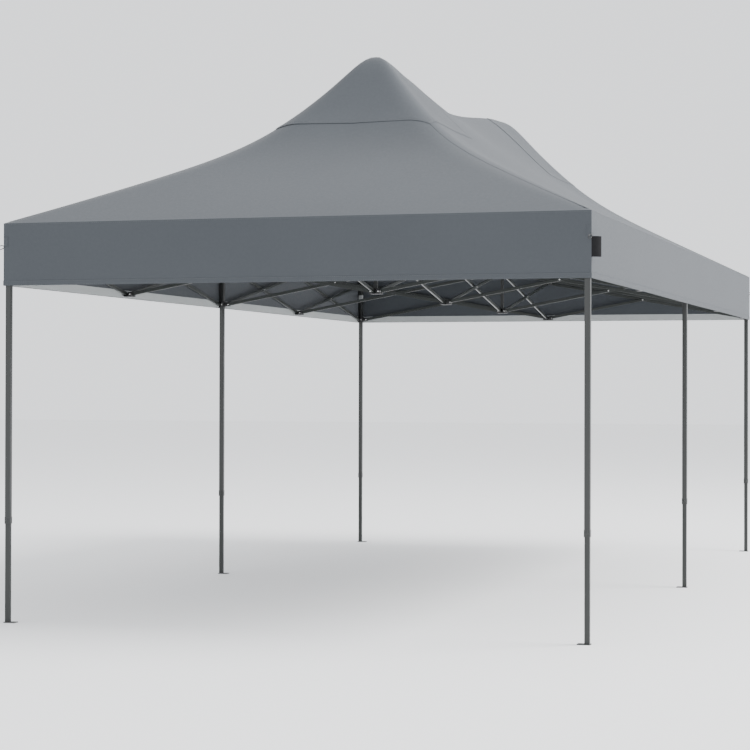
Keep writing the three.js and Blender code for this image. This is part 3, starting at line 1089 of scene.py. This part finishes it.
def gridShell(count):  # faces of two square skins, the outer one first, closed all round
    half = count * count
    quads = []
    for j in range(count - 1):
        for i in range(count - 1):
            k = j * count + i
            ids = [k, k + 1, k + count + 1, k + count]
            quads += [ids, [v + half for v in reversed(ids)]]
    last = count - 1
    loop = list(range(last)) + [j * count + last for j in range(last)]
    loop += [last * count + i for i in range(last, 0, -1)] + [j * count for j in range(last, 0, -1)]
    return quads + [[b, a, a + half, b + half] for a, b in zip(loop, loop[1:] + loop[:1])]


def clothShell(name, chosen, normals):  # both skins of some of the cloth's faces, closed all round
    used = sorted({v for f in chosen for v in faces[f]})
    index = {v: k for k, v in enumerate(used)}
    count = len(used)
    verts = [tuple(points[v]) for v in used] + [tuple(innerPoints[v]) for v in used]
    polygons, shading = [], []
    edgeCount = {}
    for f in chosen:
        ids = [index[v] for v in faces[f]]
        polygons.append(ids)
        shading.append([normals[f][k] for k in range(4)])
        polygons.append([k + count for k in reversed(ids)])
        shading.append([-normals[f][3 - k] for k in range(4)])
        for a, b in zip(ids, ids[1:] + ids[:1]):
            edgeCount[(a, b)] = edgeCount.get((a, b), 0) + 1
    for a, b in list(edgeCount):
        if (b, a) not in edgeCount:
            polygons.append([b, a, a + count, b + count])
            p = [np.array(verts[k]) for k in (b, a, a + count)]
            flat = np.cross(p[1] - p[0], p[2] - p[1])
            flat = flat / (np.linalg.norm(flat) + 1e-12)
            shading.append([flat] * 4)
    mesh = bpy.data.meshes.new(name)
    mesh.from_pydata(verts, [], polygons)
    mesh.materials.append(clothMaterial)
    mesh.polygons.foreach_set("use_smooth", [True] * len(mesh.polygons))
    layer = mesh.uv_layers.new(name="cloth")
    uvs = []
    for polygon, normal in zip(polygons, shading):
        for k in polygon:
            uvs += clothUv(verts[k], normal[0])
    layer.data.foreach_set("uv", uvs)
    mesh.normals_split_custom_set([tuple(n) for group in shading for n in group])
    mesh.update()
    return newObject(name, mesh)


# the cloth is cut into three columns, each attached to its own body, and the middle one is just wide enough
# to cover the others' inner edges
split = cloth["columnShare"]
columns = [
    ("left", -1.0, -split, "outer_leg_middle_left"),
    ("centre", -split, split, "centre_hub"),
    ("right", split, 1.0, "outer_leg_middle_right"),
]
sewnOn = {name: [] for name, *_ in columns}


def foldCloth(piece, body):
    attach(piece, body)
    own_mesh(piece)


def columnOf(x):
    share = x / cloth["halfAcross"]
    return next(c for c in columns if share <= c[2] + 1e-9)


def pathLength(path):
    return float(np.linalg.norm(np.diff(np.array(path), axis=0), axis=1).sum())


restsOn = ["peak_pole_front", "peak_pole_back"]
restsOn += [f"outer_leg_{rowName}_{sideName}" for rowName, _ in rows for sideName, _ in sides]


def addCanopy():
    normals = cornerNormals(points, faces)
    centres = np.array([points[list(f)].mean(0)[0] for f in faces]) / cloth["halfAcross"]
    for name, low, high, body in columns:
        chosen = [f for f in range(len(faces)) if low <= min(max(centres[f], -1), 1) <= high]
        piece = clothShell("canopy_" + name, chosen, normals)
        xs = np.linspace(low, high, 40) * cloth["halfAcross"]
        width = pathLength(np.stack([xs, xs * 0, roofHeight(xs, xs * 0)], -1))
        width += 0 if name == "centre" else valanceDrop
        ys = np.linspace(-1, 1, 200) * cloth["halfAlong"]
        mid = np.full_like(ys, (low + high) / 2 * cloth["halfAcross"])
        length = pathLength(np.stack([mid, ys, roofHeight(mid, ys)], -1)) + 2 * valanceDrop
        foldCloth(piece, body)
        if name == "centre":
            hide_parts("canopy")


addCanopy()
print("canopy done")

# vent caps over the peaks, and the folded seams on the hips
vent = {"lift": 0.0016, "flare": 0.0022, "cells": 36, "hemWidth": 0.018, "hemRise": 0.0008, "ripple": 0.0015}


def ventHeight(x, y, centre):
    reach = capReach * cloth["halfAcross"]
    u = np.maximum(np.abs(x), np.abs(y - centre)) / reach
    base = roofHeight(x, y)
    ripple = vent["ripple"] * u**6 * np.sin(x * 17 + 1.3) * np.cos(y * 13 + centre)
    hem = np.where(u > 1 - vent["hemWidth"] / reach, vent["hemRise"], 0)
    left = 0.5 - 0.5 * x / reach  # the left side stands open a little more
    return base + vent["lift"] + vent["flare"] * u**5 * left + ripple * left + hem


def addVents():
    n = vent["cells"]
    reach = capReach * cloth["halfAcross"]
    shares = np.linspace(-1, 1, n + 1)
    edge = 1 - vent["hemWidth"] / reach
    shares = np.concatenate([[-1], [-edge - 0.002, -edge], shares[2:-2], [edge, edge + 0.002], [1]])
    for rowName, row in (("front", -1), ("back", 1)):
        centre = row * bay
        count = len(shares)
        gridX, gridY = np.meshgrid(shares * reach, shares * reach + centre)
        z = ventHeight(gridX, gridY, centre)
        outer = np.stack([gridX, gridY, z], -1).reshape(-1, 3)
        verts = np.concatenate([outer, outer - [0, 0, cloth["thickness"]]])
        mesh = bpy.data.meshes.new("vent_cap_" + rowName)
        mesh.from_pydata([tuple(v) for v in verts], [], gridShell(count))
        mesh.materials.append(clothMaterial)
        mesh.polygons.foreach_set("use_smooth", [True] * len(mesh.polygons))
        mesh.set_sharp_from_angle(angle=math.radians(45))
        piece = newObject("vent_cap_" + rowName, mesh)
        flatUv(piece)
        foldCloth(piece, "centre_hub")
        corners = outer.reshape(count, count, 3)
        a, b, c, d = corners[:-1, :-1], corners[:-1, 1:], corners[1:, 1:], corners[1:, :-1]
        area = np.linalg.norm(np.cross(b - a, c - a), axis=-1).sum() / 2
        area += np.linalg.norm(np.cross(c - a, d - a), axis=-1).sum() / 2
        lines = []
        for back in (0.006, vent["hemWidth"] - 0.003):
            r = reach - back
            ts = np.linspace(-r, r, 60)
            for path in ((ts, ts * 0 - r), (ts, ts * 0 + r), (ts * 0 - r, ts), (ts * 0 + r, ts)):
                px, py = path[0], path[1] + centre
                lines.append(np.stack([px, py, ventHeight(px, py, centre) + 0.0003], -1).tolist())
        stitched = addStitches("vent_stitches_" + rowName, lines)
        foldCloth(stitched, "centre_hub")


addVents()
print("vent caps done")

seam = {"half": 0.005, "rise": 0.0006, "steps": 120}


def closeStrip(bm, rings):
    for lower, upper in zip(rings, rings[1:]):
        bridge(bm, lower, upper)
    bm.faces.new(rings[0][::-1])
    bm.faces.new(rings[-1])


def addStrip(bm, path, across):  # a folded seam band that lies on the roof
    half, rise = seam["half"], seam["rise"]
    rings = []
    for p in path:
        ring = []
        for offset, up in ((-half, -0.0006), (-half * 0.8, rise), (half * 0.8, rise), (half, -0.0006)):
            spot = Vector(p) + across * offset
            ring.append(bm.verts.new(onRoof(spot.x, spot.y, up)))
        rings.append(ring)
    closeStrip(bm, rings)


def addSeams():
    strips = {name: [] for name, *_ in columns}
    wide, run = cloth["halfAcross"], cloth["halfAlong"] - bay
    for side in (-1, 1):
        for row in (-1, 1):
            for start, end in ((capReach * 0.97, split), (split, 0.985)):
                shares = np.linspace(start, end, seam["steps"] // 2)
                path = [(side * t * wide, row * (bay + t * run), 0) for t in shares]
                across = Vector((row * side * 1.0, -1.0, 0)).normalized()
                column = columnOf(side * (start + end) / 2 * wide)[0]
                strips[column].append((path, across))
    for name, low, high, body in columns:
        bm = bmesh.new()
        lines = []
        for path, across in strips[name]:
            addStrip(bm, path, across)
            for offset in (-0.0035, 0.0035):
                line = [Vector(p) + across * offset for p in path]
                lines.append([onRoof(v.x, v.y, seam["rise"] + 0.0004) for v in line])
        piece = finishMesh("hip_seams_" + name, bm, clothMaterial)
        flatUv(piece)
        foldCloth(piece, body)
        for back in (0.005, cloth["hemWidth"] - 0.004):
            lines += valanceLine(valanceDrop - back, cloth["hemRise"] * 1.2, low, high)
        lines += valanceLine(0.006, 0.0, low, high)
        stitched = addStitches("seam_stitches_" + name, lines)
        foldCloth(stitched, body)
        # a light band inside the hem: painted light, standing in for light through the cloth from behind
        paintedBand = addPaintedLightBand(name, low, high)
        foldCloth(paintedBand, body)
        sewnOn[name] += [piece, stitched, paintedBand]


# size and place of the band of painted light inside the hem
paintedLightBand = {"low": 0.002, "high": 0.046, "thickness": 0.0006, "gap": 0.0004, "steps": 60}


def addPaintedLightBand(name, low, high):  # a light band inside the valance just above the hem: painted light, standing in for light that shines through the cloth from behind
    wide, long, thick = cloth["halfAcross"], cloth["halfAlong"], paintedLightBand["thickness"]
    inset = cloth["thickness"] + paintedLightBand["gap"]
    zs = (cloth["hem"] + paintedLightBand["low"], cloth["hem"] + paintedLightBand["high"])
    bm = bmesh.new()
    runs = []
    for row in (-1, 1):
        xs = np.linspace(max(low, -0.998), min(high, 0.998), paintedLightBand["steps"]) * wide
        runs.append([((x, row * long), (0, row)) for x in xs])
    side = -1 if low == -1.0 else 1 if high == 1.0 else 0
    if side:
        ys = np.linspace(-0.999, 0.999, 4 * paintedLightBand["steps"]) * long
        runs.append([((side * wide, y), (side, 0)) for y in ys])
    for run in runs:
        rings = []
        for (x, y), (nx, ny) in run:
            ring = []
            for z, back in ((zs[0], inset), (zs[0], inset + thick), (zs[1], inset + thick), (zs[1], inset)):
                out = float(standOut((eave - z) / valanceDrop, x if ny else y, bool(ny))) - back
                ring.append(bm.verts.new((x + nx * out, y + ny * out, z)))
            rings.append(ring)
        closeStrip(bm, rings)
    piece = finishMesh("painted_light_band_" + name, bm, paintedLightBandMaterial)
    flatUv(piece)
    return piece


def valanceLine(down, rise, low, high):  # a row of stitches round the valance, within one column
    wide, long = cloth["halfAcross"], cloth["halfAlong"]
    z = eave - down
    lines = []
    lift = rise + 0.0003
    for row in (-1, 1):
        xs = np.linspace(low, high, 60) * wide
        wave = standOut(down / valanceDrop, xs, True)
        lines.append([(x, row * (long + lift + w), z) for x, w in zip(xs, wave)])
    side = -1 if low == -1.0 else 1 if high == 1.0 else 0
    if side:
        ys = np.linspace(-long, long, 240)
        wave = standOut(down / valanceDrop, ys, False)
        lines.append([(side * (wide + lift + w), y, z) for y, w in zip(ys, wave)])
    return lines


addSeams()
print("seams and stitches done")

# corner loops and the blank tag
trim = {
    "loopHeight": 1.885,
    "loopLong": 0.034,
    "loopWide": 0.018,
    "cord": 0.0022,
    "tabWidth": 0.022,
    "tabHeight": 0.050,
    "tabThickness": 0.0016,
    "tagHeight": 0.095,
    "tagWidth": 0.050,
    "tagPlace": 1.835,
    "tagTurn": 0.30,
}


def addLoops():
    for sideName, side in sides:
        for rowName, row in (("front", -1), ("back", 1)):
            body = f"outer_leg_middle_{sideName}"
            corner = Vector((side * cloth["halfAcross"], row * cloth["halfAlong"], trim["loopHeight"]))
            turned = side > 0 and row < 0  # the loop beside the tag hangs to the front
            way = Vector((-0.3, -1, -0.35) if turned else (side, row * 0.35, -0.25)).normalized()
            flat = Vector((0, 0, 1)).cross(way).normalized()
            over = way.cross(flat)
            bm = bmesh.new()
            rings = []
            steps = 28
            for k in range(steps):
                angle = 2 * math.pi * k / steps
                spot = way * (trim["loopLong"] * (0.5 - 0.5 * math.cos(angle)) - 0.002)
                spot = spot + over * (trim["loopWide"] / 2 * math.sin(angle))
                tangent = way * trim["loopLong"] * math.sin(angle)
                tangent = tangent + over * trim["loopWide"] * math.cos(angle)
                normal = tangent.normalized().cross(flat)
                ring = []
                for m in range(8):
                    turn = 2 * math.pi * m / 8
                    offset = (flat * math.cos(turn) + normal * math.sin(turn)) * trim["cord"]
                    ring.append(bm.verts.new(corner + spot + offset))
                rings.append(ring)
            for k in range(steps):
                bridge(bm, rings[k], rings[(k + 1) % steps])
            piece = finishMesh(f"corner_loop_{rowName}_{sideName}", bm, plasticMaterial, 60)
            foldCloth(piece, body)
            bm = bmesh.new()
            w, h, t = trim["tabWidth"], trim["tabHeight"], trim["tabThickness"]
            face = row * cloth["halfAlong"]
            near = cloth["halfAcross"] - 0.002
            xs = sorted((side * near, side * (near - w)))
            ys = sorted((face + row * 0.0002, face + row * t))
            low, high = trim["loopHeight"], trim["loopHeight"] + h
            addBox(bm, (xs[0], ys[0], low), (xs[1], ys[1], high), 0.0004)
            tab = finishMesh(f"corner_tab_{rowName}_{sideName}", bm, clothMaterial)
            flatUv(tab)
            foldCloth(tab, body)
            sewnOn[sideName] += [piece, tab]


def addTag():  # a small woven label sewn into the corner seam, left blank
    corner = Vector((cloth["halfAcross"], -cloth["halfAlong"], trim["tagPlace"]))
    n = 10
    bm = bmesh.new()
    verts = []
    for lift in (0.0006, -0.0006):
        for j in range(n + 1):
            for i in range(n + 1):
                s = i / n
                angle = trim["tagTurn"] + 0.35 * s * s
                out = trim["tagWidth"] * s
                z = trim["tagHeight"] * (j / n - 0.5)
                spot = Vector((math.cos(angle) * out, math.sin(angle) * out, z))
                side = Vector((math.sin(angle), -math.cos(angle), 0)) * lift
                verts.append(bm.verts.new(corner + spot + side))
    for ids in gridShell(n + 1):
        bm.faces.new([verts[k] for k in ids])
    piece = finishMesh("sewn_tag", bm, tagMaterial, 60)
    flatUv(piece)
    foldCloth(piece, "outer_leg_middle_right")


addLoops()
addTag()
print("trim done")
